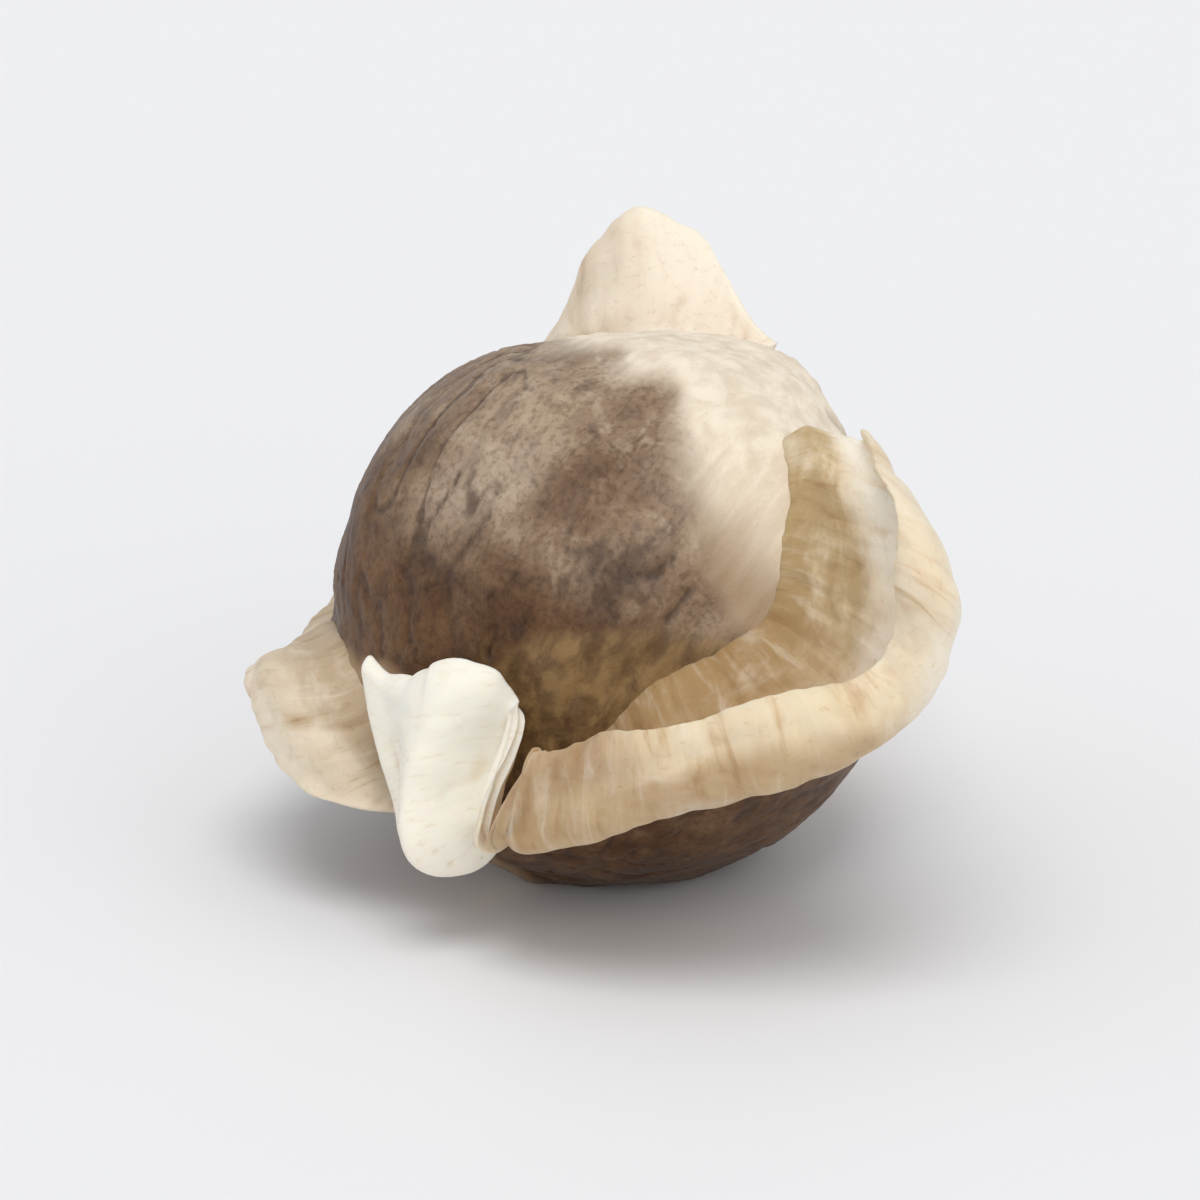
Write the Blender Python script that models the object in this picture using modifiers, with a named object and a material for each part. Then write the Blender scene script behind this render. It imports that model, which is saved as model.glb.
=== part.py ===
"""A winged seed lying on a surface: a three-angled woody hull with a curled papery wing on each angle."""
import math

import bmesh
import bpy
from mathutils import Matrix, Vector, noise

MM = 0.001
UP = Vector((0, 0, 1))
SEED_NAME = "moringa_seed"

# Hull
HULL_LENGTH = 10.8 * MM
HULL_WIDTH = 11.0 * MM
ANGLE_SWELL = 0.035
UPPER_TAPER = 0.14
POLE_POINT = 0.25 * MM
POLE_POINT_SPREAD = 0.35
RIB_HEIGHT = 0.28 * MM
RIB_HALF_WIDTH = 0.75 * MM
LUMP_HEIGHT = 0.20 * MM
LUMP_SIZE = 3.2 * MM
HULL_COLUMNS = 60
HULL_RINGS = 24
SCAN_RINGS = 90
SCAN_COLUMNS = 120
WELD_DISTANCE = 0.02 * MM

# How the hull lies: its axis rises from the near left to the far right
AXIS_RISE = math.radians(38)
AXIS_HEADING = math.radians(47)
REST_FLAT_DEPTH = 0.38 * MM

# Wings: where each one's root runs round the hull, from the underside line of the tilted hull
ROOT_TWIST = math.radians(-20)
WING_THICKNESS = 0.65 * MM
WING_GAP = 0.3 * MM
WING_COLUMNS = 64
WING_ROWS = 10
BEND_STEPS = 24
BEND_SHARE = 0.36
FOLD_CELL = 0.30 * MM
FLOOR_CLEARANCE = 0.34 * MM

# A station is (share of the way from lower to upper pole, width, lean, curl, crease, sweep, slant).
# The sheet leaves the hull at its lean and turns round the hull by its curl at its crease, a share of
# the width. Its sweep tilts it towards the upper pole, and its slant does so past the crease.
# Angles are in degrees. The drift turns the root off its line, in degrees by share of the way.
WINGS = {
    "wing_front": {
        "around": math.radians(-122),
        "drift": [(0, 0), (0.30, 0), (0.40, 7), (0.47, 11), (0.55, 8), (0.63, 3), (0.70, 0), (1, 0)],
        "reach": (0.04, 0.69),
        "stations": [
            (0.03, 5.2 * MM, -20, -102, 0.14, 0, 2),
            (0.11, 4.2 * MM, -16, -108, 0.18, 0, 42),
            (0.16, 4.2 * MM, -14, -108, 0.42, 0, 50),
            (0.20, 4.1 * MM, 5, -108, 0.48, -14, 39),
            (0.27, 4.4 * MM, 17, -114, 0.56, -5, 40),
            (0.35, 4.9 * MM, 32, -118, 0.62, 2, 33),
            (0.46, 5.7 * MM, 26, -118, 0.72, -2, 18),
            (0.55, 6.5 * MM, 16, -110, 0.78, -17, 0),
            (0.62, 5.5 * MM, 12, -90, 0.80, -29, 0),
            (0.66, 3.7 * MM, 24, -76, 0.80, -38, 0),
            (0.70, 1.7 * MM, 28, -50, 0.80, -34, 0),
        ],
        "notches": [(0.135, 0.024, 0.70), (0.125, 0.065, 0.22)],
        "scallops": 7,
        "scallop_share": 0.025,
        "ruffle": 0.15 * MM,
    },
    "wing_left": {
        "around": math.radians(110),
        "drift": [(0, 34), (0.12, 32), (0.20, 22), (0.26, 2), (0.32, -14), (0.42, -23), (0.55, -20),
                  (0.70, -7), (0.80, 8), (0.90, 14), (1, 14)],
        "reach": (0.05, 0.98),
        "stations": [
            (0.05, 1.1 * MM, -6, -30, 0.5, 8, 0),
            (0.10, 1.8 * MM, -18, -34, 0.5, 12, 0),
            (0.16, 2.4 * MM, -40, -38, 0.5, 22, 0),
            (0.22, 2.5 * MM, -50, -36, 0.5, 36, 0),
            (0.30, 2.4 * MM, -56, -30, 0.5, 30, 0),
            (0.67, 2.4 * MM, -78, -30, 0.5, 0, 0),
            (0.75, 2.1 * MM, -40, -20, 0.5, 0, 0),
            (0.84, 2.6 * MM, 14, -10, 0.5, 0, 0),
            (0.98, 1.0 * MM, 14, -10, 0.5, 0, 0),
        ],
        "notches": [(0.30, 0.030, 0.30), (0.52, 0.022, 0.22), (0.70, 0.020, 0.20)],
        "scallops": 7,
        "scallop_share": 0.06,
        "ruffle": 0.24 * MM,
    },
    "wing_back": {
        "around": math.radians(5),
        "drift": [(0, 0), (1, 0)],
        "reach": (0.52, 0.89),
        "stations": [
            (0.50, 1.6 * MM, 50, 50, 0.5, 0, 0),
            (0.59, 4.0 * MM, 50, 60, 0.5, 0, 0),
            (0.76, 3.6 * MM, 40, 50, 0.5, 0, 0),
            (0.89, 0.9 * MM, 30, 30, 0.5, 0, 0),
        ],
        "notches": [(0.66, 0.026, 0.26), (0.80, 0.018, 0.12)],
        "scallops": 8,
        "scallop_share": 0.06,
        "ruffle": 0.26 * MM,
    },
}

HULL_COLOUR = (0.27, 0.20, 0.15, 1)
HULL_ROUGHNESS = 0.55
WING_COLOUR = (0.78, 0.66, 0.48, 1)
WING_ROUGHNESS = 0.7


def pose_rotation():
    """The turn from the upright seed, axis on +Z, to the way it lies."""
    return Matrix.Rotation(AXIS_HEADING, 3, "Z") @ Matrix.Rotation(math.pi / 2 - AXIS_RISE, 3, "Y")


def along_curve(stations, column, share):
    """One column of the stations at a share of the way, on a smooth curve that never overshoots."""
    spots = [station[0] for station in stations]
    values = [station[column] for station in stations]
    last = len(spots) - 1
    k = max(i for i in range(last) if spots[i] <= share or i == 0)
    span = spots[k + 1] - spots[k]
    x = min(max((share - spots[k]) / span, 0), 1)

    def slope(i):
        if i in (0, last):
            return 0
        before = (values[i] - values[i - 1]) / (spots[i] - spots[i - 1])
        after = (values[i + 1] - values[i]) / (spots[i + 1] - spots[i])
        return 2 * before * after / (before + after) * span if before * after > 0 else 0

    return (
        (2 * x**3 - 3 * x**2 + 1) * values[k]
        + (x**3 - 2 * x**2 + x) * slope(k)
        + (3 * x**2 - 2 * x**3) * values[k + 1]
        + (x**3 - x**2) * slope(k + 1)
    )


def root_turn(wing, polar):
    """Where a wing's root runs round the hull at an angle from the upper pole."""
    drift = math.radians(along_curve(wing["drift"], 1, 1 - polar / math.pi))
    return wing["around"] + ROOT_TWIST * (0.5 - polar / math.pi) + drift


def hull_point(polar, around):
    """A point on the hull, polar measured from the upper pole."""
    swell, rib = 0, 0
    for wing in WINGS.values():
        turn = around - root_turn(wing, polar)
        swell += ANGLE_SWELL * math.cos(3 * turn) / len(WINGS)
        offset = math.sin(turn) * math.sin(polar) * HULL_WIDTH / 2
        if math.cos(turn) > 0:
            rib += RIB_HEIGHT * math.exp(-((offset / RIB_HALF_WIDTH) ** 2))
    rib *= math.sin(polar)
    upper_rise = math.exp(-((polar / POLE_POINT_SPREAD) ** 2))
    lower_rise = math.exp(-(((math.pi - polar) / POLE_POINT_SPREAD) ** 2))
    taper = 1 - UPPER_TAPER * max(0, math.cos(polar)) ** 2
    radius = HULL_WIDTH / 2 * (1 + swell) * taper * math.sin(polar) + rib
    place = Vector((
        radius * math.cos(around),
        radius * math.sin(around),
        HULL_LENGTH / 2 * math.cos(polar) + POLE_POINT * (upper_rise - lower_rise),
    ))
    return place + place.normalized() * LUMP_HEIGHT * noise.noise(place / LUMP_SIZE)


def hull_mesh(floor):
    """The hull as a sphere moved point by point, cut flat where it rests."""
    shape = bmesh.new()
    bmesh.ops.create_uvsphere(shape, u_segments=HULL_COLUMNS, v_segments=HULL_RINGS, radius=1)
    first_rib = WINGS["wing_front"]["around"]
    for vertex in shape.verts:
        polar = math.acos(max(-1, min(1, vertex.co.z)))
        around = math.atan2(vertex.co.y, vertex.co.x) + first_rib
        vertex.co = hull_point(polar, around)
    down = pose_rotation().inverted() @ -UP
    cut = bmesh.ops.bisect_plane(
        shape,
        geom=shape.verts[:] + shape.edges[:] + shape.faces[:],
        plane_co=down * -floor,
        plane_no=down,
        clear_outer=True,
    )
    rim = [item for item in cut["geom_cut"] if isinstance(item, bmesh.types.BMEdge)]
    bmesh.ops.contextual_create(shape, geom=rim)
    bmesh.ops.remove_doubles(shape, verts=shape.verts[:], dist=WELD_DISTANCE)
    return finish_mesh(shape, "hull")


def lowest_hull_height():
    """How far below its centre the tilted, uncut hull reaches."""
    turn = pose_rotation()
    rings = [math.pi * i / SCAN_RINGS for i in range(SCAN_RINGS + 1)]
    columns = [2 * math.pi * i / SCAN_COLUMNS for i in range(SCAN_COLUMNS)]
    return min((turn @ hull_point(polar, around)).z for polar in rings for around in columns)


def rim_reach(wing, share):
    """How far the scalloped and torn rim reaches, as a share of the whole sheet's width."""
    wave = math.sin(2 * math.pi * wing["scallops"] * share + wing["around"])
    reach = 1 + wing["scallop_share"] * wave
    for place, half_width, depth in wing["notches"]:
        reach *= 1 - depth * max(0, 1 - abs(share - place) / half_width)
    return reach


def sheet_point(wing, share, out):
    """A point on a wing's middle surface: share runs pole to pole, out runs from root to rim."""
    polar = math.pi * (1 - share)
    around = root_turn(wing, polar)
    crease = along_curve(wing["stations"], 4, share)
    angles = [math.radians(along_curve(wing["stations"], column, share)) for column in (2, 3, 5, 6)]
    lean, curl, sweep, slant = angles
    ahead = Vector((math.cos(around), math.sin(around), 0))
    outward = math.sin(polar) * ahead + math.cos(polar) * UP
    upward = math.sin(polar) * UP - math.cos(polar) * ahead
    sideways = UP.cross(ahead)
    stem = math.cos(sweep) * outward + math.sin(sweep) * upward
    side = math.cos(slant) * sideways - math.copysign(math.sin(slant), -lean - curl) * upward

    def bend(spot):
        turned = min(max((spot - crease) / BEND_SHARE + 0.5, 0), 1)
        return lean + curl * turned * turned * (3 - 2 * turned)

    width = along_curve(wing["stations"], 1, share)
    reached = out * rim_reach(wing, share)
    root_gap = WING_GAP + WING_THICKNESS / 2 * abs(math.sin(lean))
    place = hull_point(polar, around) + root_gap * outward
    step = reached / BEND_STEPS
    for i in range(BEND_STEPS):
        angle = bend((i + 0.5) * step)
        place += width * step * (math.cos(angle) * stem + math.sin(angle) * side)
    angle = bend(reached)
    face = math.cos(angle) * side - math.sin(angle) * stem
    wave = math.sin(2 * math.pi * wing["scallops"] * share + 2 * around)
    return place + face * wing["ruffle"] * wave * out**2


def wing_mesh(name, floor):
    """A wing as a flat grid bent into its sheet, kept above the surface, split into triangles."""
    wing = WINGS[name]
    first, last = wing["reach"]
    turn = pose_rotation()
    back = turn.inverted()
    shape = bmesh.new()
    bmesh.ops.create_grid(shape, x_segments=WING_COLUMNS, y_segments=WING_ROWS, size=0.5)
    for vertex in shape.verts:
        share = first + (last - first) * (vertex.co.x + 0.5)
        place = turn @ sheet_point(wing, share, vertex.co.y + 0.5)
        place.z = max(place.z, floor + FLOOR_CLEARANCE)
        vertex.co = back @ place
    bmesh.ops.triangulate(shape, faces=shape.faces[:], quad_method="SHORT_EDGE")
    return finish_mesh(shape, name)


def finish_mesh(shape, name):
    mesh = bpy.data.meshes.new(name)
    bmesh.ops.recalc_face_normals(shape, faces=shape.faces[:])
    shape.to_mesh(mesh)
    shape.free()
    mesh.shade_smooth()
    return mesh


def plain_material(name, colour, roughness):
    material = bpy.data.materials.new(name)
    material.use_nodes = True
    shader = material.node_tree.nodes["Principled BSDF"]
    shader.inputs["Base Color"].default_value = colour
    shader.inputs["Roughness"].default_value = roughness
    shader.inputs["Metallic"].default_value = 0
    return material


def add_node(name, mesh, material, collection, parent):
    node = bpy.data.objects.new(name, mesh)
    mesh.materials.append(material)
    collection.objects.link(node)
    node.parent = parent
    return node


def add_wing(name, floor, material, collection, parent):
    node = add_node(name, wing_mesh(name, floor), material, collection, parent)
    shell = node.modifiers.new("thickness", "SOLIDIFY")
    shell.thickness = WING_THICKNESS
    shell.offset = 0
    fused = node.modifiers.new("fused_folds", "REMESH")
    fused.mode = "VOXEL"
    fused.voxel_size = FOLD_CELL
    node.modifiers.new("flat_faces", "TRIANGULATE")
    return node


def settle(parent, nodes):
    """Move the whole seed so that the bottom centre of its box is at the origin."""
    bpy.context.view_layer.update()
    graph = bpy.context.evaluated_depsgraph_get()
    points = []
    for node in nodes:
        solid = node.evaluated_get(graph)
        points += [solid.matrix_world @ vertex.co for vertex in solid.data.vertices]
    low = [min(point[i] for point in points) for i in range(3)]
    high = [max(point[i] for point in points) for i in range(3)]
    parent.location += Vector((-(low[0] + high[0]) / 2, -(low[1] + high[1]) / 2, -low[2]))
    bpy.context.view_layer.update()


def main():
    for item in list(bpy.data.objects):
        bpy.data.objects.remove(item, do_unlink=True)
    collection = bpy.data.collections.new(SEED_NAME)
    bpy.context.scene.collection.children.link(collection)
    pose = bpy.data.objects.new("seed_pose", None)
    collection.objects.link(pose)
    pose.rotation_euler = pose_rotation().to_euler()

    floor = lowest_hull_height() + REST_FLAT_DEPTH
    skin = plain_material("hull", HULL_COLOUR, HULL_ROUGHNESS)
    nodes = [add_node("hull", hull_mesh(floor), skin, collection, pose)]
    for name in WINGS:
        membrane = plain_material(name, WING_COLOUR, WING_ROUGHNESS)
        nodes.append(add_wing(name, floor, membrane, collection, pose))
    settle(pose, nodes)


main()
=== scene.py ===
"""The dressed moringa seed: a mottled, furrowed hull with papery wings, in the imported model's frame."""

import math

import bmesh
import bpy
import numpy as np
from mathutils import Matrix, Vector, noise


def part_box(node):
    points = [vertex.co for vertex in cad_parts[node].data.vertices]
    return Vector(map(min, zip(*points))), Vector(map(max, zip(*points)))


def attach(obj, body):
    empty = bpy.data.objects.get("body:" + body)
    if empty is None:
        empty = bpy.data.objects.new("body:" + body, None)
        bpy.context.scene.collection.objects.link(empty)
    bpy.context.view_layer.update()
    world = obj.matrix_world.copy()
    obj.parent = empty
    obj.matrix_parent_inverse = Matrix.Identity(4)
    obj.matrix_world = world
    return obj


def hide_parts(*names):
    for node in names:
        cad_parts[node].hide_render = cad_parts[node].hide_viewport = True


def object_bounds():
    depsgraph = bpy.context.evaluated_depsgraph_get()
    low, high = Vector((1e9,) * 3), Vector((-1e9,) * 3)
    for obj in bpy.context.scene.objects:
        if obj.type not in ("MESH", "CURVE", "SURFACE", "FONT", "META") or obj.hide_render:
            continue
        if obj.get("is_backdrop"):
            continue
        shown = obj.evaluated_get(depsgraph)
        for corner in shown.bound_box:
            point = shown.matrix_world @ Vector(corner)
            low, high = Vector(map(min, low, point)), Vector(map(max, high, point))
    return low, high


MM = 0.001
UP = Vector((0, 0, 1))

# The CAD's form, by the same named values
HULL_LENGTH = 10.8 * MM
HULL_WIDTH = 11.0 * MM
ANGLE_SWELL = 0.035
UPPER_TAPER = 0.14
POLE_POINT = 0.25 * MM
POLE_POINT_SPREAD = 0.35
RIB_HEIGHT = 0.28 * MM
RIB_HALF_WIDTH = 0.75 * MM
LUMP_HEIGHT = 0.20 * MM
LUMP_SIZE = 3.2 * MM
AXIS_RISE = math.radians(38)
AXIS_HEADING = math.radians(47)
REST_FLAT_DEPTH = 0.38 * MM
ROOT_TWIST = math.radians(-20)
WING_GAP = 0.3 * MM
WING_THICKNESS = 0.65 * MM
BEND_SHARE = 0.36

# A station is (share of the way from lower to upper pole, width, lean, curl, crease, sweep, slant).
# The sheet leaves the hull at its lean and turns round the hull by its curl at its crease, a share of
# the width. Its sweep tilts it towards the upper pole, and its slant does so past the crease.
# Angles are in degrees. The drift turns the root off its line, in degrees by share of the way.
# A wing grows along its extent, from one share of the way to another.
# A notch is (share of the way, half width as such a share, depth as a share of the sheet's width).
# Scallops are counted from pole to pole. The ruffle is the height of the rim's waves.
# The rim is torn up to the share torn_to, and calmer past it.
WINGS = {
    "wing_front": {
        "around": math.radians(-122),
        "drift": [(0, 0), (0.30, 0), (0.40, 7), (0.47, 11), (0.55, 8), (0.63, 3), (0.70, 0), (1, 0)],
        "extent": (0.04, 0.69),
        "stations": [
            (0.03, 5.2 * MM, -20, -102, 0.14, 0, 2),
            (0.11, 4.2 * MM, -16, -108, 0.18, 0, 42),
            (0.16, 4.2 * MM, -14, -108, 0.42, 0, 50),
            (0.20, 4.1 * MM, 5, -108, 0.48, -14, 39),
            (0.27, 4.4 * MM, 17, -114, 0.56, -5, 40),
            (0.35, 4.9 * MM, 32, -118, 0.62, 2, 33),
            (0.46, 5.7 * MM, 26, -118, 0.72, -2, 18),
            (0.55, 6.5 * MM, 16, -110, 0.78, -17, 0),
            (0.62, 5.5 * MM, 12, -90, 0.80, -29, 0),
            (0.66, 3.7 * MM, 24, -76, 0.80, -38, 0),
            (0.70, 1.7 * MM, 28, -50, 0.80, -34, 0),
        ],
        "notches": [(0.137, 0.020, 0.72), (0.161, 0.016, 0.14), (0.176, 0.016, 0.085),
                    (0.125, 0.045, 0.10), (0.070, 0.030, 0.12)],
        "scallops": 7,
        "scallop_share": 0.025,
        "ruffle": 0.15 * MM,
        "torn_to": 0.13,
        "columns": 400,
        "rows": 96,
        "seed": 3,
    },
    "wing_left": {
        "around": math.radians(110),
        "drift": [(0, 34), (0.12, 32), (0.20, 22), (0.26, 2), (0.32, -14), (0.42, -23), (0.55, -20),
                  (0.70, -7), (0.80, 8), (0.90, 14), (1, 14)],
        "extent": (0.05, 0.98),
        "stations": [
            (0.05, 1.1 * MM, -6, -30, 0.5, 8, 0),
            (0.10, 1.8 * MM, -18, -34, 0.5, 12, 0),
            (0.16, 2.4 * MM, -40, -38, 0.5, 22, 0),
            (0.22, 2.5 * MM, -50, -36, 0.5, 36, 0),
            (0.30, 2.4 * MM, -56, -30, 0.5, 30, 0),
            (0.67, 2.4 * MM, -78, -30, 0.5, 0, 0),
            (0.75, 2.1 * MM, -40, -20, 0.5, 0, 0),
            (0.84, 2.6 * MM, 14, -10, 0.5, 0, 0),
            (0.98, 1.0 * MM, 14, -10, 0.5, 0, 0),
        ],
        "notches": [(0.05, 0.055, 0.62), (0.135, 0.050, -0.10), (0.30, 0.030, 0.30), (0.52, 0.022, 0.22),
                    (0.70, 0.020, 0.20), (0.98, 0.110, 0.80)],
        "scallops": 7,
        "scallop_share": 0.06,
        "ruffle": 0.24 * MM,
        "torn_to": 1,
        "columns": 340,
        "rows": 64,
        "seed": 11,
    },
    "wing_back": {
        "around": math.radians(5),
        "drift": [(0, 0), (1, 0)],
        "extent": (0.52, 0.89),
        "stations": [
            (0.50, 1.6 * MM, 50, 50, 0.5, 0, 0),
            (0.59, 4.0 * MM, 50, 60, 0.5, 0, 0),
            (0.76, 3.6 * MM, 40, 50, 0.5, 0, 0),
            (0.89, 0.9 * MM, 30, 30, 0.5, 0, 0),
        ],
        "notches": [(0.66, 0.026, 0.26), (0.80, 0.018, 0.12)],
        "scallops": 8,
        "scallop_share": 0.06,
        "ruffle": 0.26 * MM,
        "torn_to": 1,
        "columns": 240,
        "rows": 72,
        "seed": 19,
    },
}

# The columns of a station
WIDTH, LEAN, CURL, CREASE, SWEEP, SLANT = range(1, 7)

# Fine form of the hull
HULL_COLUMNS = 400
HULL_RINGS = 200
PALE_TISSUE_HEIGHT = 0.10 * MM
BROWN_TISSUE_HEIGHT = 0.04 * MM

# Unevenness of the skin and of the tissue on it: (height or depth, size)
SKIN_LUMP = (0.09 * MM, 1.35 * MM)
FURROW = (0.060 * MM, 0.70 * MM)
PIT = (0.020 * MM, 0.26 * MM)
SKIN_GRAIN = (0.018 * MM, 0.15 * MM)
TISSUE_FIBRE = (0.04 * MM, 0.24 * MM)

# Pale tissue on either side of the front wing's root, and wing tissue below it, painted dark brown as shade:
# (share, millimetres)
BAND_DOME_SIDE = [(0.40, 0.6), (0.43, 1.1), (0.47, 2.3), (0.55, 3.0), (0.64, 3.2), (0.74, 3.4), (0.90, 2.4)]
BAND_FAR_SIDE = [(0.62, 0.5), (0.70, 1.7), (0.76, 2.3), (0.84, 1.8), (0.94, 1.6)]
BASE_WIDTHS = [(0.00, 2.8), (0.13, 2.8), (0.20, 3.3), (0.26, 3.1), (0.31, 2.7), (0.36, 2.0), (0.41, 1.2),
               (0.47, 0.4)]

# Where the crown's pale foot begins on the hull: (millimetres round from the front wing's root, share)
FOOT_LIMITS = [(-9.5, 0.90), (-8.2, 0.80), (-7.2, 0.69), (-6.5, 0.645), (-5.5, 0.63), (-4.4, 0.64),
               (-3.3, 0.635), (-2.0, 0.58)]

# Where other tissue on the hull begins or ends, as shares of the way from the lower to the upper pole
BAND_FROM = 0.43
FRONT_SEAM_FROM = 0.44
STRIP_FROM = 0.76
CROWN_FROM = 0.93
LOBE_TO = 0.235
BASE_TO = 0.48
# Below this share the pale tissue is darkened as painted shade
LOW_TISSUE_SHADE_TO = 0.60

# Patches of the skin's colour: (millimetres round from the front wing's root, share, spread in millimetres)
DARK_PATCH = (-4.0, 0.48, 1.4)
LOW_DARK_PATCH = (-4.6, 0.33, 1.7)
LOW_DARK_STRENGTH = 0.55
LIGHT_PATCH = (-6.3, 0.44, 1.2)
PATCH_SHARE_SPREAD = 0.08

# Painted shade, darker and browner, covers the lower part of the skin up to this share of the hull's height,
# and ends lower towards +X
LOW_SHADE_TO = 0.82
LOW_SHADE_TILT = 0.40

# Fine form of the wings
SHEET_THICKNESS = 0.22 * MM
THICKNESS_AT_ROOT = 1.15
THINNING_TO_RIM = 0.50
THICKNESS_VARIATION = 0.3
THICKNESS_VARIATION_SIZE = 1.1 * MM
ROOT_FLARE = 0.20 * MM
ROOT_FLARE_HEIGHT = 0.50 * MM
ROOT_SINK = 0.25 * MM
ROOT_ROWS = 7
PROFILE_STEPS = 240
EASE_REACH = 0.9 * MM
EASE_ROUNDS = 10
EASE_STEP = 0.6
LOOSE_FROM = 1.4 * MM
FACING_SHARE = 0.35
ROLL_SHARE = 0.12
ROLL_TURN = math.radians(60)
ROLL_FULL_WIDTH = 3.5 * MM
ROLL_WAVES = 14
ROLL_VARIATION = 0.7
FLOOR_CLEARANCE = 0.03 * MM
COLUMN_CROWDING = 0.28
RIM_CROWDING = 1.35

# Unevenness of the sheets: (height, size)
CRUMPLE = (0.12 * MM, 1.9 * MM)
FINE_CRUMPLE = (0.045 * MM, 0.75 * MM)
PLEAT = (0.025 * MM, 0.55 * MM)
FIBRE = (0.034 * MM, 0.22 * MM)
WRINKLE = (0.022 * MM, 0.34 * MM)

# Tears of the rims: (waves from pole to pole, depth as a share of the width)
COARSE_FRAY = (46, 0.035)
FINE_FRAY = (120, 0.022)
RIPS = (30, 0.16)
RIP_LIMIT = 0.35

# The flap's crease: (share of the way, spread) of its ridge and its valley, the ridge's height, the
# valley's depth as a share of that, and the grid point whose normal tells which side faces the viewer
FLAP_RIDGE = (0.082, 0.018)
FLAP_VALLEY = (0.112, 0.012)
FLAP_CREASE = 0.50 * MM
FLAP_VALLEY_DEPTH = 0.6
FLAP_SPOT = (4, -20)

# How far the foot of the flap, and all of it, are pulled to the left: the distance, (place on X,
# spread), and (end, span) of the zone on Y and on Z where the pull fades out
FOOT_PULL = 0.85 * MM
FOOT_PULL_X = (-2.9 * MM, 1.9 * MM)
FOOT_PULL_Y = (-3.5 * MM, 2 * MM)
FOOT_PULL_Z = (5.6 * MM, 2.4 * MM)
FLAP_PULL = 0.46 * MM
FLAP_PULL_X = (-3.9 * MM, 2.4 * MM)
FLAP_PULL_Y = (-1.8 * MM, 1.4 * MM)

# The colours of each sheet: at its root, in its middle, at its rim, of its pale streaks and of its stains;
# the stain colour also paints shade in wrinkles and on the inner face
MEMBRANES = {
    "wing_front": [(186, 160, 116), (232, 214, 178), (230, 213, 184), (247, 240, 226), (212, 188, 150)],
    "wing_left": [(190, 168, 138), (218, 202, 176), (230, 214, 190), (246, 236, 220), (206, 182, 150)],
    "wing_back": [(140, 106, 70), (204, 180, 144), (228, 210, 180), (240, 231, 214), (190, 160, 122)],
}

# Stage
FLOOR_SIZE = 4
CAMERA_ELEVATION = math.radians(20)
CAMERA_DISTANCE = 0.6
CAMERA_LENS = 940


def smooth(x):
    x = np.clip(x, 0, 1)
    return x * x * (3 - 2 * x)


def rise(x, start, span):
    """0 up to a start and 1 beyond the span that follows it."""
    return smooth((x - start) / span)


def fall(x, end, span):
    """0 from an end on and 1 before the span that leads to it."""
    return smooth((end - x) / span)


def bell(x, middle, spread):
    return np.exp(-(((x - middle) / spread) ** 2))


def from_table(x, table):
    """Values between those of a table of pairs."""
    return np.interp(x, [place for place, _ in table], [value for _, value in table])


def noise_at(points, size, seed=0):
    """Smooth noise, about -1 to 1, at each point of an array of points."""
    shift = Vector((seed * 7.31, seed * 3.17, seed * 5.71))
    flat = (points.reshape(-1, 3) / size).tolist()
    values = [noise.noise(Vector(place) + shift) for place in flat]
    return np.array(values).reshape(points.shape[:-1])


def unit(vectors):
    return vectors / np.maximum(np.linalg.norm(vectors, axis=-1, keepdims=True), 1e-12)


def pose_rotation():
    """The turn from the upright seed, axis on +Z, to the way it lies."""
    return Matrix.Rotation(AXIS_HEADING, 3, "Z") @ Matrix.Rotation(math.pi / 2 - AXIS_RISE, 3, "Y")


def along_curve(stations, column, share):
    """One column of the stations at a share of the way, on a smooth curve that never overshoots."""
    spots = [station[0] for station in stations]
    values = [station[column] for station in stations]
    last = len(spots) - 1
    k = max(i for i in range(last) if spots[i] <= share or i == 0)
    span = spots[k + 1] - spots[k]
    x = min(max((share - spots[k]) / span, 0), 1)

    def slope(i):
        if i in (0, last):
            return 0
        before = (values[i] - values[i - 1]) / (spots[i] - spots[i - 1])
        after = (values[i + 1] - values[i]) / (spots[i + 1] - spots[i])
        return 2 * before * after / (before + after) * span if before * after > 0 else 0

    return (
        (2 * x**3 - 3 * x**2 + 1) * values[k]
        + (x**3 - 2 * x**2 + x) * slope(k)
        + (3 * x**2 - 2 * x**3) * values[k + 1]
        + (x**3 - x**2) * slope(k + 1)
    )


def root_turn(wing, polar):
    """Where a wing's root runs round the hull at an angle from the upper pole."""
    drift = math.radians(along_curve(wing["drift"], 1, 1 - polar / math.pi))
    return wing["around"] + ROOT_TWIST * (0.5 - polar / math.pi) + drift


def hull_points(polar, around):
    """Points of the hull at one angle from the upper pole and an array of angles round its axis."""
    swell, rib = np.zeros(len(around)), np.zeros(len(around))
    for wing in WINGS.values():
        turn = around - root_turn(wing, polar)
        swell += ANGLE_SWELL * np.cos(3 * turn) / len(WINGS)
        offset = np.sin(turn) * math.sin(polar) * HULL_WIDTH / 2
        rib += (np.cos(turn) > 0) * RIB_HEIGHT * np.exp(-((offset / RIB_HALF_WIDTH) ** 2))
    rib *= math.sin(polar)
    upper_rise = math.exp(-((polar / POLE_POINT_SPREAD) ** 2))
    lower_rise = math.exp(-(((math.pi - polar) / POLE_POINT_SPREAD) ** 2))
    taper = 1 - UPPER_TAPER * max(0, math.cos(polar)) ** 2
    radius = HULL_WIDTH / 2 * (1 + swell) * taper * math.sin(polar) + rib
    level = HULL_LENGTH / 2 * math.cos(polar) + POLE_POINT * (upper_rise - lower_rise)
    place = np.stack([radius * np.cos(around), radius * np.sin(around), np.full(len(around), level)], axis=-1)
    return place + unit(place) * (LUMP_HEIGHT * noise_at(place, LUMP_SIZE))[:, None]


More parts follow.
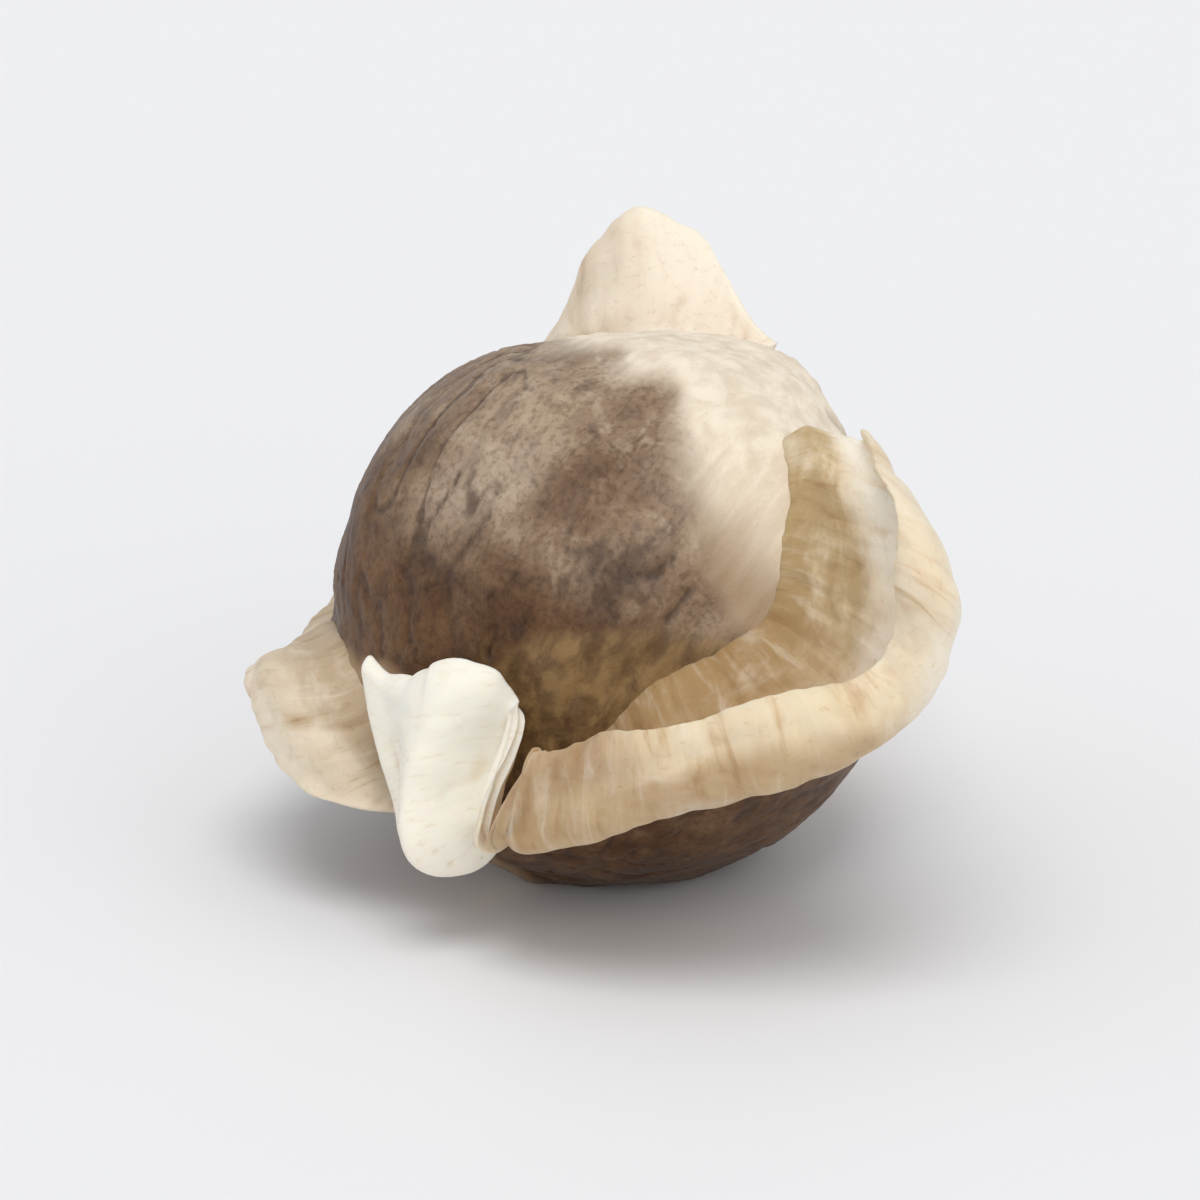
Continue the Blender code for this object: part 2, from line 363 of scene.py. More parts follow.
class Pose:
    """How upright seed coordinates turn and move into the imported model's frame."""

    def __init__(self, hull_grid):
        self.turn = np.array(pose_rotation())
        turned = hull_grid.reshape(-1, 3) @ self.turn.T
        low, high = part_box("hull")
        floor = turned[:, 2].min() + REST_FLAT_DEPTH
        middle = (turned.min(0) + turned.max(0)) / 2
        self.shift = np.array([(low[0] + high[0]) / 2, (low[1] + high[1]) / 2, 0]) - middle
        self.shift[2] = -floor

    def __call__(self, points, clearance=0.0):
        placed = points @ self.turn.T + self.shift
        placed[..., 2] = np.maximum(placed[..., 2], clearance)
        return placed


def grid_mesh(name, points, attributes):
    """A mesh of quads over a grid of points with closed rows, and named values at its points."""
    rows, columns = points.shape[:2]
    left = np.arange(rows * columns).reshape(rows, columns)
    right = np.roll(left, -1, axis=1)
    quads = np.stack([left[:-1], right[:-1], right[1:], left[1:]], axis=-1).reshape(-1, 4)
    mesh = bpy.data.meshes.new(name)
    mesh.from_pydata(points.reshape(-1, 3).tolist(), [], quads.tolist())
    for label, values in attributes.items():
        kind = "FLOAT_VECTOR" if values.ndim == 3 else "FLOAT"
        layer = mesh.attributes.new(label, kind, "POINT")
        layer.data.foreach_set("vector" if values.ndim == 3 else "value", values.astype(np.float32).ravel())
    return mesh


def close_mesh(mesh):
    """Weld the points that lie on each other and turn every face outward."""
    shape = bmesh.new()
    shape.from_mesh(mesh)
    bmesh.ops.remove_doubles(shape, verts=shape.verts[:], dist=0.00002 * MM)
    bmesh.ops.recalc_face_normals(shape, faces=shape.faces[:])
    shape.to_mesh(mesh)
    shape.free()
    mesh.shade_smooth()


def add_piece(name, mesh, material, node):
    piece = bpy.data.objects.new(name, mesh)
    bpy.context.scene.collection.objects.link(piece)
    mesh.materials.append(material)
    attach(piece, "root")
    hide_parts(node)


def colour(red, green, blue):
    """A linear colour from the usual 0 to 255 numbers."""
    channels = []
    for value in (red, green, blue):
        value /= 255
        channels.append(value / 12.92 if value <= 0.04045 else ((value + 0.055) / 1.055) ** 2.4)
    return (*channels, 1)


class Shade:
    """Short calls that add nodes to one material."""

    def __init__(self, name):
        self.material = bpy.data.materials.new(name)
        self.material.use_nodes = True
        self.tree = self.material.node_tree
        self.shader = self.tree.nodes["Principled BSDF"]

    def add(self, kind, inputs, **settings):
        node = self.tree.nodes.new("ShaderNode" + kind)
        for key, value in settings.items():
            setattr(node, key, value)
        for key, value in inputs.items():
            self.feed(node.inputs[key], value)
        return node

    def feed(self, socket, value):
        if isinstance(value, bpy.types.NodeSocket):
            self.tree.links.new(value, socket)
        else:
            socket.default_value = value

    def value(self, name):
        return self.add("Attribute", {}, attribute_name=name).outputs["Fac"]

    def vector(self, name, scale):
        source = self.add("Attribute", {}, attribute_name=name).outputs["Vector"]
        return self.add("Mapping", {"Vector": source, "Scale": scale}).outputs["Vector"]

    def noise(self, vector, scale, detail, roughness, distortion=0.0):
        wanted = {
            "Vector": vector,
            "Scale": scale,
            "Detail": detail,
            "Roughness": roughness,
            "Distortion": distortion,
        }
        return self.add("TexNoise", wanted).outputs["Fac"]

    def math(self, operation, first, second):
        return self.add("Math", {0: first, 1: second}, operation=operation).outputs[0]

    def span(self, source, low, high, to_low=0.0, to_high=1.0):
        wanted = {"Value": source, "From Min": low, "From Max": high, "To Min": to_low, "To Max": to_high}
        return self.add("MapRange", wanted, interpolation_type="SMOOTHSTEP").outputs["Result"]

    def mix(self, factor, first, second, blend="MIX"):
        node = self.add("Mix", {0: factor, 6: first, 7: second}, data_type="RGBA", blend_type=blend)
        return node.outputs[2]

    def multiply(self, factor, first, second):
        return self.mix(factor, first, second, "MULTIPLY")

    def bump(self, height, strength, distance, normal=None):
        wanted = {"Height": height, "Strength": strength, "Distance": distance}
        if normal:
            wanted["Normal"] = normal
        return self.add("Bump", wanted).outputs["Normal"]


def hull_material():
    """Mottled grey-brown seed coat, pale where a wing clings, with painted shade in furrows, low down and on
    the lower wing tissue.
    """
    s = Shade("seed_coat")
    place = s.vector("grain", (1, 1, 1))
    drawn_out = s.vector("grain", (1, 1, 0.20))
    patches = s.noise(place, 0.50, 3, 0.6, 0.4)
    mottle = s.noise(place, 1.5, 5, 0.62, 0.6)
    speck = s.noise(place, 7.5, 3, 0.6)
    streak = s.noise(drawn_out, 2.2, 4, 0.6, 0.3)
    relief = s.value("relief")
    membrane = s.value("membrane")
    base = s.value("base")
    low = s.value("low")

    tone = s.mix(s.span(patches, 0.36, 0.64), colour(138, 112, 88), colour(170, 147, 122))
    tone = s.mix(s.span(mottle, 0.50, 0.72, 0, 0.68), tone, colour(196, 178, 156))
    tone = s.mix(s.span(mottle, 0.50, 0.28, 0, 0.55), tone, colour(96, 72, 56))
    tone = s.mix(s.span(streak, 0.56, 0.76, 0, 0.40), tone, colour(198, 180, 160))
    tone = s.mix(s.span(streak, 0.46, 0.28, 0, 0.50), tone, colour(88, 64, 48))
    # Painted shade: the lower and left part of the skin darkened towards brown
    low_painted_shade = s.math("MULTIPLY", low, s.span(mottle, 0.25, 0.65, 1.0, 0.90))
    tone = s.multiply(low_painted_shade, tone, colour(151, 117, 73))
    tone = s.multiply(s.span(s.value("stain"), 0, 1, 0, 0.80), tone, colour(186, 164, 142))
    tone = s.mix(s.span(s.value("bloom"), 0, 1, 0, 0.40), tone, colour(204, 186, 164))
    # Painted shade in the furrows and pits: darker where the relief is lower
    tone = s.mix(s.span(relief, 0.46, 0.12, 0, 0.65), tone, colour(66, 48, 36))
    tone = s.multiply(s.span(speck, 0.44, 0.68, 0, 0.45), tone, colour(160, 138, 118))
    # Wing tissue at the lower front, its dark brown painted shade of the cup's hollow
    brown = s.mix(s.span(streak, 0.34, 0.66), colour(100, 74, 44), colour(146, 116, 74))
    brown = s.mix(s.span(mottle, 0.48, 0.28, 0, 0.4), brown, colour(80, 58, 34))
    tone = s.mix(base, tone, brown)
    pale = s.mix(s.span(streak, 0.34, 0.66), colour(226, 210, 187), colour(244, 231, 209))
    pale = s.mix(s.span(mottle, 0.44, 0.24, 0, 0.22), pale, colour(188, 164, 134))
    # Painted shade: the pale tissue darkened on the lower and left part as well
    pale = s.multiply(s.span(low, 0.35, 1.0, 0, 0.6), pale, colour(206, 184, 152))
    # Painted shade: the pale tissue darkened towards the lower pole
    pale = s.mix(s.span(s.value("low_tissue_shade"), 0, 1, 0, 0.85), pale, colour(156, 128, 96))
    tone = s.mix(membrane, tone, pale)
    s.feed(s.shader.inputs["Base Color"], tone)

    rough = s.span(mottle, 0.3, 0.7, 0.40, 0.58)
    s.feed(s.shader.inputs["Roughness"], s.math("ADD", rough, s.span(membrane, 0, 1, 0, 0.16)))
    s.feed(s.shader.inputs["Specular IOR Level"], 0.30)
    s.feed(s.shader.inputs["Sheen Weight"], 0.04)
    s.feed(s.shader.inputs["Sheen Roughness"], 0.5)
    fine = s.bump(s.noise(place, 11.0, 4, 0.65), 0.55, 0.03 * MM)
    s.feed(s.shader.inputs["Normal"], s.bump(streak, 0.30, 0.05 * MM, fine))
    return s.material


def wing_material(name):
    """Papery membrane: browner at its root, cream at its rim, with fine fibres from root to rim."""
    root, middle, rim, pale, stain = (colour(*channels) for channels in MEMBRANES[name])
    s = Shade(name.replace("wing_", "") + "_membrane")
    sheet = s.vector("grain", (1, 1, 1))
    fibre_place = s.vector("grain", (1, 0.13, 1))
    out = s.value("out")
    inner = s.value("inner")
    white = s.value("white")
    warm = s.value("warm")
    relief = s.value("relief")
    fibre = s.noise(fibre_place, 4.2, 4, 0.6, 0.5)
    broad = s.noise(fibre_place, 1.3, 3, 0.6, 0.4)
    cloud = s.noise(sheet, 0.75, 4, 0.6, 0.3)
    grain = s.noise(sheet, 8.0, 4, 0.6)

    way = s.math("ADD", out, s.span(cloud, 0.25, 0.75, -0.22, 0.22))
    tone = s.mix(s.span(way, 0.02, 0.42), root, middle)
    tone = s.mix(s.span(way, 0.52, 0.98), tone, rim)
    # Painted shade: the curl's inner face a little darker
    tone = s.mix(s.span(inner, 0, 1, 0.0, 0.10), tone, s.multiply(1.0, tone, stain))
    # Orange stain beside the flap, and painted shade along the fold under the rim
    orange = s.math("MULTIPLY", warm, s.span(cloud, 0.25, 0.75, 0.60, 0.95))
    tone = s.mix(orange, tone, colour(164, 128, 82))
    tone = s.mix(s.span(cloud, 0.52, 0.74, 0, 0.30), tone, pale)
    tone = s.mix(s.span(fibre, 0.52, 0.76, 0, 0.30), tone, pale)
    tone = s.multiply(s.span(fibre, 0.48, 0.26, 0, 0.60), tone, stain)
    tone = s.multiply(s.span(broad, 0.46, 0.26, 0, 0.35), tone, stain)
    # Pale from bleaching, and painted light on the cup's upper inner wall
    bleach_and_light_mix = s.math("MULTIPLY", white, s.span(grain, 0.2, 0.6, 0.80, 0.95))
    tone = s.mix(bleach_and_light_mix, tone, pale)
    # Painted shade in the wrinkles: darker where the face sinks
    tone = s.multiply(s.span(relief, 0.45, 0.10, 0, 0.7), tone, stain)
    tone = s.multiply(s.span(grain, 0.44, 0.24, 0, 0.35), tone, stain)
    s.feed(s.shader.inputs["Base Color"], tone)

    s.feed(s.shader.inputs["Roughness"], s.span(fibre, 0.25, 0.75, 0.58, 0.80))
    s.feed(s.shader.inputs["Specular IOR Level"], 0.35)
    s.feed(s.shader.inputs["Subsurface Weight"], 0.35)
    s.feed(s.shader.inputs["Subsurface Radius"], (1.0, 0.62, 0.36))
    s.feed(s.shader.inputs["Subsurface Scale"], 0.35 * MM)
    s.feed(s.shader.inputs["Sheen Weight"], 0.10)
    s.feed(s.shader.inputs["Sheen Roughness"], 0.5)
    fine = s.bump(grain, 0.35, 0.02 * MM)
    s.feed(s.shader.inputs["Normal"], s.bump(fibre, 0.35, 0.04 * MM, fine))
    return s.material


def hull_angles():
    """The grid's angles from the upper pole and round the axis, from the front wing's root on."""
    polar = np.linspace(0, math.pi, HULL_RINGS + 1)
    around = np.linspace(0, 2 * math.pi, HULL_COLUMNS, endpoint=False)
    return polar, around + WINGS["wing_front"]["around"]


def plain_hull():
    """The CAD's hull form on a fine grid, rings from the upper pole by columns round it."""
    polar, around = hull_angles()
    return np.array([hull_points(p, around) for p in polar])


def beside_root(wing, polar, around):
    """How far a point of the hull lies round from a wing's root line, in metres, signed."""
    turn = around[None, :] - np.array([root_turn(wing, angle) for angle in polar])[:, None]
    turn = (turn + math.pi) % (2 * math.pi) - math.pi
    return turn * np.sin(polar)[:, None] * HULL_WIDTH / 2


def hull_share(polar):
    """The share of the way from the lower to the upper pole, as a column for the grid."""
    return (1 - polar / math.pi)[:, None]


def clinging_membrane(points, polar, around):
    """Where pale wing tissue lies on the hull."""
    share = hull_share(polar)
    drawn_out = points * np.array([1, 1, 0.3])
    ragged = 0.30 * MM * noise_at(points, 1.4 * MM, 5) + 0.20 * MM * noise_at(drawn_out, 0.4 * MM, 6)
    torn = ragged + 0.55 * MM * noise_at(drawn_out, 0.8 * MM, 12)
    front = beside_root(WINGS["wing_front"], polar, around)
    left = beside_root(WINGS["wing_left"], polar, around)

    # A band on either side of the cup's root
    band = rise(front + ragged, -MM * from_table(share, BAND_DOME_SIDE), 1.5 * MM)
    band *= fall(front - torn, MM * from_table(share, BAND_FAR_SIDE), 0.9 * MM)
    band *= rise(share + ragged / (14 * MM), BAND_FROM, 0.03)

    # The crown's foot, which fades more slowly the further it lies from the cup, and the upper pole
    foot_softness = 0.06 + 0.025 * np.maximum(0, -front / MM - 4)
    foot = rise(share + torn / (12 * MM), from_table(front / MM, FOOT_LIMITS), foot_softness)
    foot *= fall(front, 0.5 * MM, 0.5 * MM)
    crown = rise(share + torn / (9 * MM), CROWN_FROM, 0.05)

    # A strip along the upper end of the left wing's root, and a patch beside its lower end
    strip = fall(np.abs(left) - torn, 1.3 * MM, 1.2 * MM) * rise(share, STRIP_FROM, 0.10)
    lobe = rise(left + ragged, -0.6 * MM, 0.5 * MM) * fall(left - ragged, 1.9 * MM, 0.6 * MM)
    lobe *= fall(share - ragged / (12 * MM), LOBE_TO, 0.03)
    covered = np.maximum.reduce([band, foot, crown, strip, lobe])

    # A seam along each root
    for name, wing in WINGS.items():
        aside = np.abs(beside_root(wing, polar, around)) + ragged * 0.6
        seam = 0.8 * fall(aside, 0.62 * MM, 0.30 * MM)
        if name == "wing_front":
            seam *= rise(share, FRONT_SEAM_FROM, 0.06)
        covered = np.maximum(covered, seam)
    return covered


def base_tissue(points, polar, around):
    """Where wing tissue covers the lower front of the hull, beside the front wing's root, painted dark brown
    as shade.
    """
    share = hull_share(polar)
    ragged = 0.25 * MM * noise_at(points, 1.1 * MM, 15)
    front = beside_root(WINGS["wing_front"], polar, around)
    zone = rise(front + ragged, -MM * from_table(share, BASE_WIDTHS), 0.8 * MM)
    return zone * fall(front, 0.5 * MM, 0.3 * MM) * fall(share, BASE_TO, 0.03)


def skin_patch(points, polar, around, patch):
    """A soft patch of the skin's colour."""
    place, share, spread = patch
    front = beside_root(WINGS["wing_front"], polar, around) + 0.6 * MM * noise_at(points, 1.3 * MM, 21)
    return bell(front / MM, place, spread) * bell(hull_share(polar), share, PATCH_SHARE_SPREAD)


def hull_relief(points, membrane, base):
    """Fine height of the skin: lumps, furrows from pole to pole and small pits, all in metres."""
    drawn_out = points * np.array([1, 1, 0.20])
    lumps = SKIN_LUMP[0] * noise_at(points, SKIN_LUMP[1], 1)
    furrow = noise_at(drawn_out, FURROW[1], 2)
    patch = smooth(0.5 + noise_at(points, 2.0 * MM, 3) * 1.2)
    furrows = -FURROW[0] * np.maximum(0, 1 - np.abs(furrow) / 0.20) * (0.3 + 0.7 * patch)
    pits = -PIT[0] * rise(noise_at(points, PIT[1], 4), 0.15, 0.4)
    skin = SKIN_GRAIN[0] * noise_at(points, SKIN_GRAIN[1], 7)
    fibres = TISSUE_FIBRE[0] * noise_at(drawn_out, TISSUE_FIBRE[1], 8)
    bare = 1 - np.maximum(membrane, base)
    skin_relief = (furrows + pits + skin) * (0.25 + 0.75 * bare)
    pale_relief = (PALE_TISSUE_HEIGHT + fibres) * membrane
    brown_relief = (BROWN_TISSUE_HEIGHT + 0.7 * fibres) * base * (1 - membrane)
    return lumps, skin_relief + pale_relief + brown_relief


def add_hull(plain, pose):
    polar, around = hull_angles()
    membrane = clinging_membrane(plain, polar, around)
    base = base_tissue(plain, polar, around)
    lumps, fine = hull_relief(plain, membrane, base)
    placed = pose(plain + unit(plain) * (lumps + fine)[..., None])
    # Height for the painted shade, which reaches higher towards -X
    height = (placed[..., 2] + LOW_SHADE_TILT * placed[..., 0]) / HULL_WIDTH
    dark = skin_patch(plain, polar, around, DARK_PATCH)
    low_dark = LOW_DARK_STRENGTH * skin_patch(plain, polar, around, LOW_DARK_PATCH)
    values = {
        "grain": plain / MM,
        "relief": np.clip(0.6 + fine / (0.12 * MM), 0, 1),
        "membrane": membrane,
        "base": base,
        # Painted shade on the lower and left part of the skin
        "low": fall(height - 0.10 * noise_at(plain, 1.6 * MM, 9), LOW_SHADE_TO, 0.32),
        "low_tissue_shade": np.repeat(fall(hull_share(polar), LOW_TISSUE_SHADE_TO, 0.15), plain.shape[1], axis=1),
        "stain": np.maximum(dark, low_dark),
        "bloom": skin_patch(plain, polar, around, LIGHT_PATCH),
    }
    mesh = grid_mesh("seed_coat", placed, values)
    close_mesh(mesh)
    add_piece("seed_coat", mesh, hull_material(), "hull")


def blend_ends(x):
    """Even in the middle and closer at both ends."""
    return (1 - COLUMN_CROWDING) * x + COLUMN_CROWDING * (0.5 - 0.5 * np.cos(math.pi * x))


def torn_reach(wing, share):
    """How far the scalloped and torn rim reaches, as a share of the whole sheet's width."""
    wave = math.sin(2 * math.pi * wing["scallops"] * share + wing["around"])
    reach = 1 + wing["scallop_share"] * wave
    for place, half_width, depth in wing["notches"]:
        reach *= 1 - depth * float(smooth(1 - abs(share - place) / half_width))

    def wander(waves, level):
        return noise.noise(Vector((share * waves, wing["seed"], level)))

    ragged = wander(COARSE_FRAY[0], 0) * COARSE_FRAY[1] + wander(FINE_FRAY[0], 4) * FINE_FRAY[1]
    ragged -= RIPS[1] * max(0, wander(RIPS[0], 8) - RIP_LIMIT)
    # Past its torn part the rim is calmer, and reaches a little further
    calm = rise(share, wing["torn_to"], 0.03)
    return reach * (0.97 + 0.05 * calm + ragged * (1 - 0.7 * calm))


def wing_column(wing, share, rows):
    """One line across a wing from inside the hull to its rim, with its face direction and distances."""
    polar = math.pi * (1 - share)
    around = root_turn(wing, polar)
    width, crease = (along_curve(wing["stations"], column, share) for column in (WIDTH, CREASE))
    angles = [along_curve(wing["stations"], column, share) for column in (LEAN, CURL, SWEEP, SLANT)]
    lean, curl, sweep, slant = (math.radians(angle) for angle in angles)
    reach = torn_reach(wing, share)
    length = width * reach
    ahead = Vector((math.cos(around), math.sin(around), 0))
    outward = math.sin(polar) * ahead + math.cos(polar) * UP
    upward = math.sin(polar) * UP - math.cos(polar) * ahead
    sideways = UP.cross(ahead)
    stem = np.array(math.cos(sweep) * outward + math.sin(sweep) * upward)
    side = np.array(math.cos(slant) * sideways - math.copysign(math.sin(slant), -lean - curl) * upward)
    outward = np.array(outward)

    # The sheet's angle along its profile, and the path that it makes
    variation = ROLL_VARIATION * noise.noise(Vector((share * ROLL_WAVES, wing["seed"], 2)))
    roll = math.copysign(ROLL_TURN, curl) * (1 + variation) * min(1, length / ROLL_FULL_WIDTH)
    t = np.linspace(0, 1, PROFILE_STEPS + 1)
    turned = smooth((t * reach - crease) / BEND_SHARE + 0.5)
    angle = lean + curl * turned + roll * rise(t, 1 - ROLL_SHARE, ROLL_SHARE)
    step = length / PROFILE_STEPS
    along_stem = np.concatenate([[0], np.cumsum(np.cos(angle[1:]) + np.cos(angle[:-1])) / 2 * step])
    along_side = np.concatenate([[0], np.cumsum(np.sin(angle[1:]) + np.sin(angle[:-1])) / 2 * step])
    root_gap = WING_GAP + WING_THICKNESS / 2 * abs(math.sin(lean))
    surface = hull_points(polar, np.array([around]))[0]
    sheet = surface + root_gap * outward + along_stem[:, None] * stem + along_side[:, None] * side
    face = np.cos(angle)[:, None] * side - np.sin(angle)[:, None] * stem
    wave = math.sin(2 * math.pi * wing["scallops"] * share + 2 * around)
    sheet = sheet + face * (wing["ruffle"] * wave * t**2)[:, None]

    # The stalk from inside the hull, and the sheet at the wanted rows
    lift = np.linspace(-ROOT_SINK, root_gap, ROOT_ROWS, endpoint=False)
    ways = np.concatenate([lift - root_gap, rows * length])
    line = np.concatenate([surface + lift[:, None] * outward, at_rows(rows, t, sheet)])
    facing = at_rows(rows, t, face)
    facing = np.concatenate([np.repeat(facing[:1], ROOT_ROWS, axis=0), facing])
    return ease_corner(line, ways), facing, ways + root_gap, length - ways


def at_rows(rows, t, points):
    return np.stack([np.interp(rows, t, points[:, i]) for i in range(3)], axis=-1)


def ease_corner(line, ways):
    """Round the bend where the stalk from the hull turns into the sheet."""
    eased = line.copy()
    near = smooth(1 - np.abs(ways) / EASE_REACH)[:, None]
    for _ in range(EASE_ROUNDS):
        middle = (eased[:-2] + eased[2:]) / 2
        eased[1:-1] += (middle - eased[1:-1]) * EASE_STEP * near[1:-1]
    return eased


def sheet_normal(middle, facing):
    """The sheet's direction of thickness at each point, kept from tilting too far where the rim rolls."""
    across, along = np.gradient(middle, axis=1), np.gradient(middle, axis=0)
    normal = unit(np.cross(along, across))
    normal *= np.sign((normal * facing).sum())
    return unit(normal + FACING_SHARE * facing)


def crumple_sheet(middle, normal, grain, loose, seed):
    """Crumple the sheet, and pleat it finely from root to rim, where it is loose from the hull."""
    crumple = CRUMPLE[0] * noise_at(middle, CRUMPLE[1], seed)
    crumple += FINE_CRUMPLE[0] * noise_at(middle, FINE_CRUMPLE[1], seed + 1)
    pleat = PLEAT[0] * noise_at(grain * np.array([1, 0.25, 1]), PLEAT[1], seed + 2)
    return middle + normal * ((crumple + pleat) * loose)[..., None]


def fold_flap(middle, normal, share, loose):
    """Crease the flap along its middle, with the ridge towards the viewer."""
    ridge = bell(share, *FLAP_RIDGE) - FLAP_VALLEY_DEPTH * bell(share, *FLAP_VALLEY)
    side = 1 if normal[FLAP_SPOT][1] < 0 else -1
    return middle + side * normal * (FLAP_CREASE * ridge * loose)[..., None]


def pull_flap(placed):
    """Pull the flap and the rim's end beside it towards the left, and their foot most."""
    x, y, z = (placed[..., i] for i in range(3))
    pull = FOOT_PULL * fall(z, *FOOT_PULL_Z) * fall(y, *FOOT_PULL_Y) * bell(x, *FOOT_PULL_X)
    pull += FLAP_PULL * fall(y, *FLAP_PULL_Y) * bell(x, *FLAP_PULL_X)
    placed[..., 0] -= pull
    return placed


def half_thickness(middle, height, out, to_edge, seed):
    """Half of the sheet's thickness, rounded off at its edge, and how far in from that edge a point lies."""
    uneven = 1 + THICKNESS_VARIATION * noise_at(middle, THICKNESS_VARIATION_SIZE, seed + 3)
    half = SHEET_THICKNESS / 2 * (THICKNESS_AT_ROOT - THINNING_TO_RIM * out**2) * uneven
    half = half + ROOT_FLARE * np.exp(-np.maximum(height, 0) / ROOT_FLARE_HEIGHT)
    inward = np.clip(to_edge / half, 0, 1)
    return half * np.sqrt(1 - (1 - inward) ** 2), inward


def add_wing(name, pose):
    """A wing as a closed sheet of two faces, crumpled and fibrous, thicker where it grows from the hull."""
    wing = WINGS[name]
    seed = wing["seed"]
    first, last = wing["extent"]
    shares = first + (last - first) * blend_ends(np.linspace(0, 1, wing["columns"]))
    rows = 1 - (1 - np.linspace(0, 1, wing["rows"])) ** RIM_CROWDING
    columns = [wing_column(wing, share, rows) for share in shares]
    middle, facing, height, to_rim = (np.array([column[i] for column in columns]) for i in range(4))

    normal = sheet_normal(middle, facing)
    root_length = math.pi * HULL_LENGTH / 2
    share = np.repeat(shares[:, None], middle.shape[1], axis=1)
    grain = np.stack([share * root_length, height, np.full(height.shape, seed * MM)], axis=-1)
    loose = smooth(height / LOOSE_FROM)
    middle = crumple_sheet(middle, normal, grain, loose, seed)
    if name == "wing_front":
        middle = fold_flap(middle, normal, share, loose)

    to_end = np.minimum(share - first, last - share) * root_length
    to_edge = np.minimum(to_rim, to_end)
    out = np.clip(1 - to_rim / np.maximum(to_rim[:, ROOT_ROWS:ROOT_ROWS + 1], 1e-9), 0, 1)
    half, inward = half_thickness(middle, height, out, to_edge, seed)
    fibre = noise_at(grain * np.array([1, 0.14, 1]), FIBRE[1], seed + 4)
    wrinkle = noise_at(middle, WRINKLE[1], seed + 5)
    fine = (FIBRE[0] * fibre + WRINKLE[0] * wrinkle) * np.sqrt(inward)

    white = bleach_and_painted_light_zone(name, share, out, middle)
    warm = warm_zone(name, share, out, middle)
    curl_side = math.copysign(1, along_curve(wing["stations"], CURL, 0.5))
    sheets, values = [], []
    for way in (1, -1):
        sheets.append(middle + way * normal * (half + fine * way)[..., None])
        values.append({
            "grain": grain / MM + np.array([0, 0, way * 3.0]),
            "out": out,
            "inner": np.full(out.shape, 1.0 if way == curl_side else 0.0),
            "white": white,
            "warm": warm,
            "relief": np.clip(0.5 + way * (fibre * 0.25 + wrinkle * 0.2), 0, 1),
        })
    loop = np.concatenate([sheets[0], sheets[1][:, ::-1]], axis=1)
    merged = {
        key: np.concatenate([values[0][key], values[1][key][:, ::-1]], axis=1) for key in values[0]
    }
    placed = pose(loop, FLOOR_CLEARANCE)
    if name == "wing_front":
        placed = pull_flap(placed)
    mesh = grid_mesh(name + "_sheet", placed, merged)
    close_mesh(mesh)
    add_piece(name + "_sheet", mesh, wing_material(name), name)


def bleach_and_painted_light_zone(name, share, out, middle):
    """Where the sheets are paler: pale from bleaching on the folded flap and the tip of the crown, and
    painted light on the upper half of the cup.
    """
    drift = 0.02 * noise_at(middle, 1.2 * MM, 31)
    if name == "wing_front":
        # Painted light: the cup's upper inner wall made whiter, though it lies in shade
        cup = 0.92 * rise(share + 2 * drift, 0.40, 0.14) * rise(out + 3 * drift, 0.22, 0.30)
        cup *= fall(out - 3 * drift, 0.92, 0.20)
        return np.maximum(fall(share - drift, 0.142, 0.025), cup)
    if name == "wing_left":
        return 0.8 * rise(share + drift, 0.78, 0.08)
    return np.zeros(share.shape)


def warm_zone(name, share, out, middle):
    """Where the rim is stained orange beside the folded flap, and where a weaker orange-brown paints shade
    along the fold under the rim.
    """
    if name != "wing_front":
        return np.zeros(share.shape)
    drift = 0.03 * noise_at(middle, 1.0 * MM, 37)
    beside_flap = fall(share - drift, 0.37, 0.14)
    # Painted shade on the underside of the fold
    fold_shade = 0.85 * fall(share - drift, 0.56, 0.14) * fall(out - 2 * drift, 0.88, 0.14)
    return rise(share, 0.128, 0.02) * np.maximum(beside_flap, fold_shade)


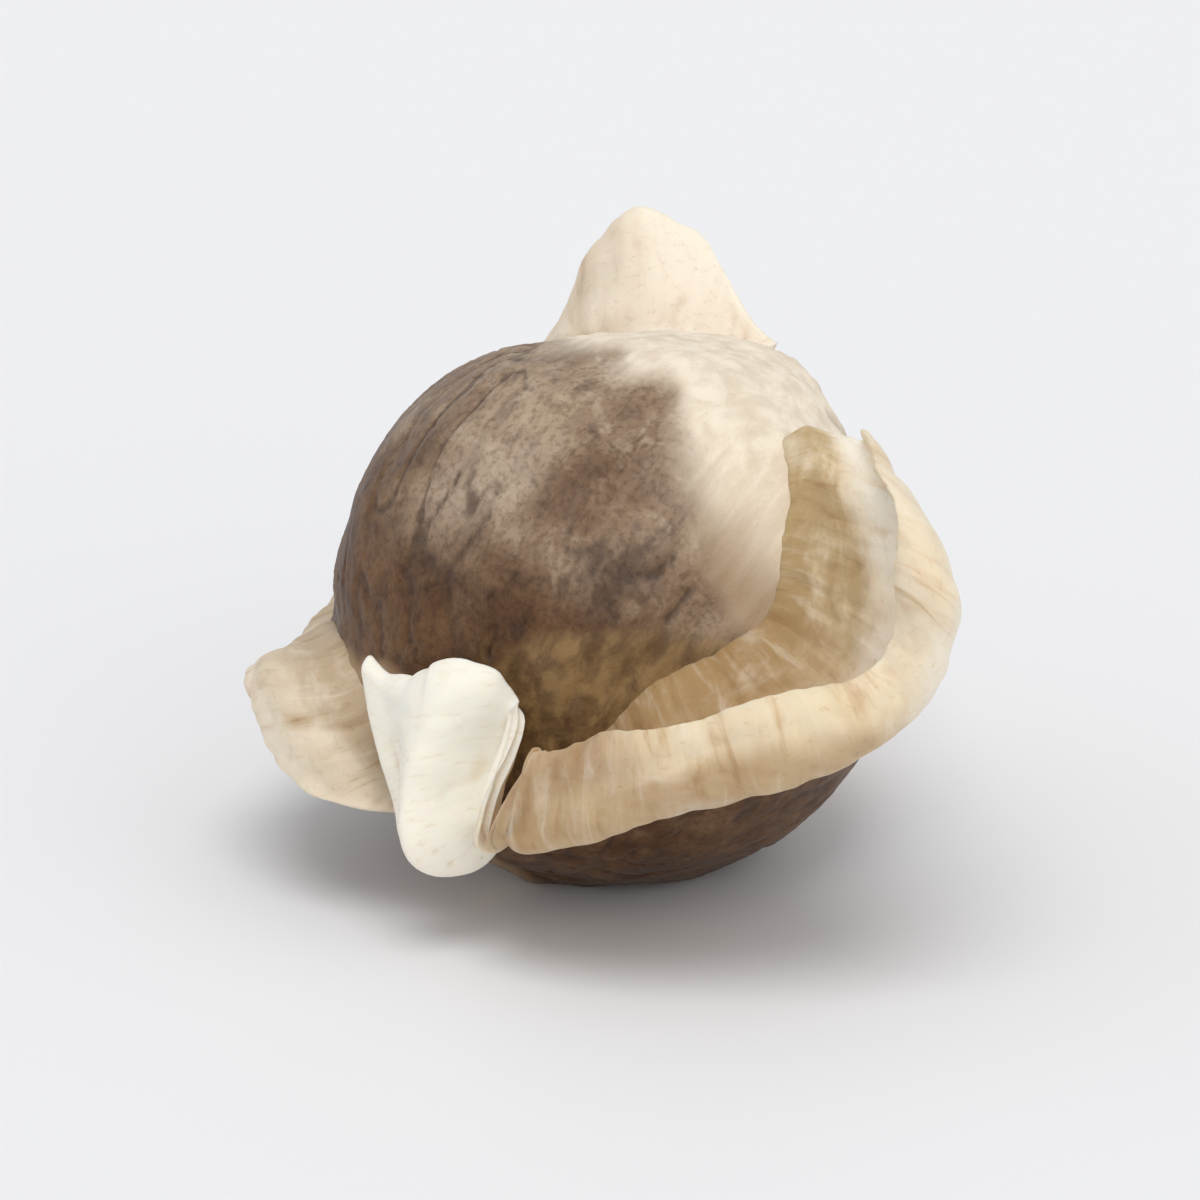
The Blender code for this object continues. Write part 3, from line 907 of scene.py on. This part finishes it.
def add_floor():
    bpy.ops.mesh.primitive_plane_add(size=FLOOR_SIZE, location=(0, 0, 0))
    floor = bpy.context.active_object
    floor.name = "floor"
    s = Shade("pale_floor")
    s.feed(s.shader.inputs["Base Color"], (0.86, 0.86, 0.87, 1))
    s.feed(s.shader.inputs["Roughness"], 0.55)
    s.feed(s.shader.inputs["Specular IOR Level"], 0.25)
    floor.data.materials.append(s.material)
    floor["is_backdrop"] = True


def add_sun(name, azimuth, elevation, strength, softness):
    light = bpy.data.objects.new(name, bpy.data.lights.new(name, "SUN"))
    light.data.energy = strength
    light.data.angle = math.radians(softness)
    a, e = math.radians(azimuth), math.radians(elevation)
    back = Vector((math.sin(a) * math.cos(e), -math.cos(a) * math.cos(e), math.sin(e)))
    light.rotation_euler = (-back).to_track_quat("-Z", "Y").to_euler()
    bpy.context.scene.collection.objects.link(light)


def add_light():
    world = bpy.data.worlds.new("studio")
    world.use_nodes = True
    sky = world.node_tree.nodes["Background"]
    sky.inputs["Color"].default_value = (0.97, 0.98, 1.0, 1)
    sky.inputs["Strength"].default_value = 0.64
    bpy.context.scene.world = world
    add_sun("key", azimuth=-4, elevation=63, strength=1.25, softness=34)
    add_sun("fill", azimuth=32, elevation=22, strength=0.42, softness=50)
    bpy.context.scene.view_settings.view_transform = "Standard"


def add_camera():
    """The photograph's angle: from the front, a little above, from far away."""
    low, high = (Vector(corner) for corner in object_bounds())
    target = (low + high) / 2
    back = Vector((0, -math.cos(CAMERA_ELEVATION), math.sin(CAMERA_ELEVATION)))
    camera = bpy.data.objects.new("camera", bpy.data.cameras.new("camera"))
    camera.data.lens = CAMERA_LENS
    camera.data.sensor_width = 36
    camera.data.clip_start = 0.01
    camera.data.clip_end = 10
    camera.location = target + back * CAMERA_DISTANCE
    camera.rotation_euler = (-back).to_track_quat("-Z", "Y").to_euler()
    bpy.context.scene.collection.objects.link(camera)
    bpy.context.scene.camera = camera


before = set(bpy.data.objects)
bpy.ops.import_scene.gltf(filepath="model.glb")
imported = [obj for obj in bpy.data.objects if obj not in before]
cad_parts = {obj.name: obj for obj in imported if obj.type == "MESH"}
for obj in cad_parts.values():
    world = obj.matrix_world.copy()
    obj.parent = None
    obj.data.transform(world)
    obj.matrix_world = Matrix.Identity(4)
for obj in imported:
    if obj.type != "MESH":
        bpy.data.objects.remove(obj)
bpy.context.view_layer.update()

plain = plain_hull()
pose = Pose(plain)
add_hull(plain, pose)
for wing_name in WINGS:
    add_wing(wing_name, pose)
add_floor()
add_light()
add_camera()
